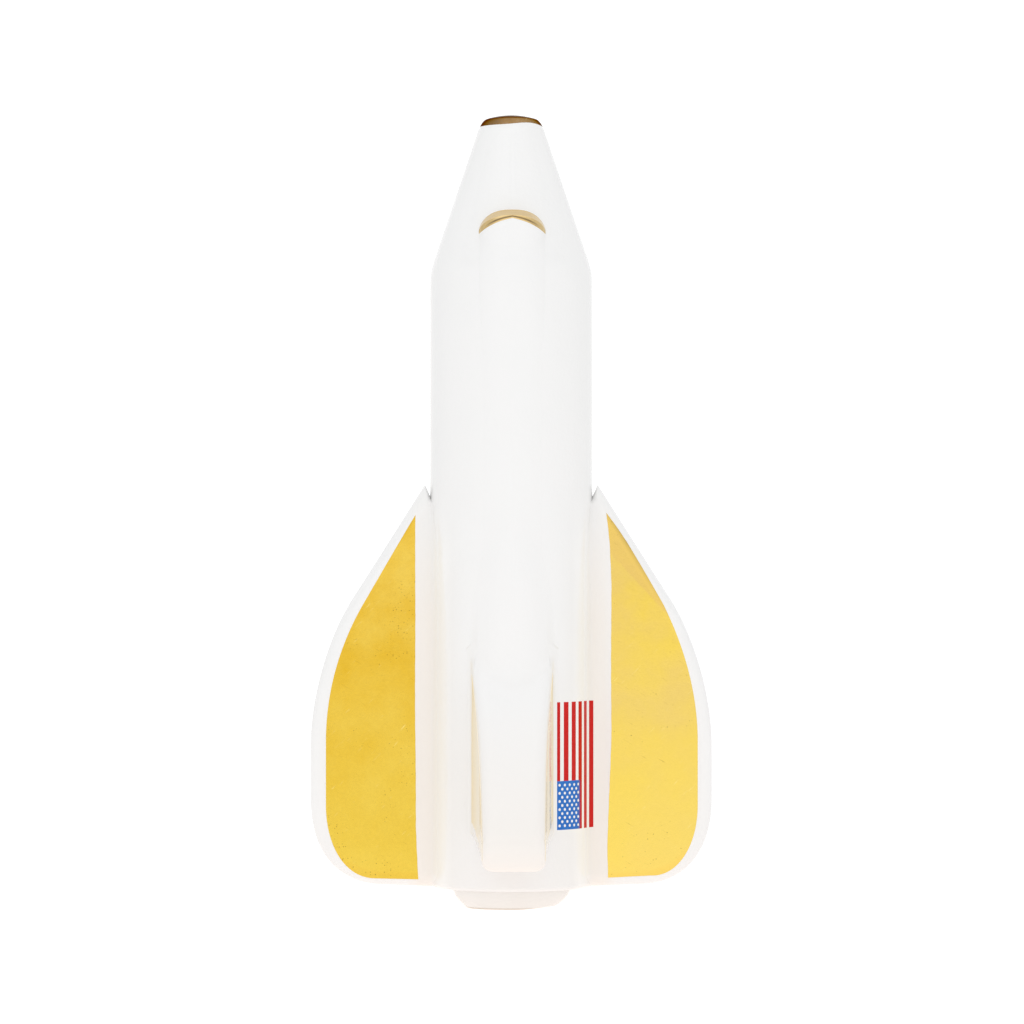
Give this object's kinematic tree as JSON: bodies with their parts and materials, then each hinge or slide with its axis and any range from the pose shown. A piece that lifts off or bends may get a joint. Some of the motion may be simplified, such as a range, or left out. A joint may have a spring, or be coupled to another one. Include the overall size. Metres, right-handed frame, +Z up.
{
  "type": "porcelain space shuttle ornament",
  "caption": "Glazed porcelain ornament shaped like a winged space plane standing on its tail, with gilded wings, fin, windscreen and nose tip and a flag transfer on one shoulder.",
  "frame": {"origin": "at the centre of the foot's standing face, on the mid-plane of the ornament", "axes": "+Z up towards the nose, -Y the dorsal side with the fin, +X towards the ornament's own right wing"},
  "size_m": [0.1524, 0.0754, 0.3],
  "materials": {
    "glazed_porcelain": "white clear-glazed porcelain, high gloss",
    "foot_porcelain": "glazed sides, wiped unglazed standing face",
    "wing_lustre": "burnished gold lustre over glaze, faint brush marks and pits",
    "trim_lustre": "pale gold lustre over glaze",
    "nose_lustre": "thin brownish gold lustre over glaze",
    "flag_print": "fired-on ceramic transfer, red stripes and a blue corner with white dots"
  },
  "bodies": {
    "root": {"fuselage_shell": "glazed_porcelain", "canopy_and_spine": "glazed_porcelain", "tail_fin": "glazed_porcelain", "left_wing": "glazed_porcelain", "right_wing": "glazed_porcelain", "tail_foot": "foot_porcelain", "nose_gilding": "nose_lustre", "windscreen_gilding": "trim_lustre", "left_wing_gilding": "wing_lustre", "right_wing_gilding": "wing_lustre", "left_fin_gilding": "trim_lustre", "right_fin_gilding": "trim_lustre", "flag_transfer": "flag_print"}
  },
  "joints": []
}
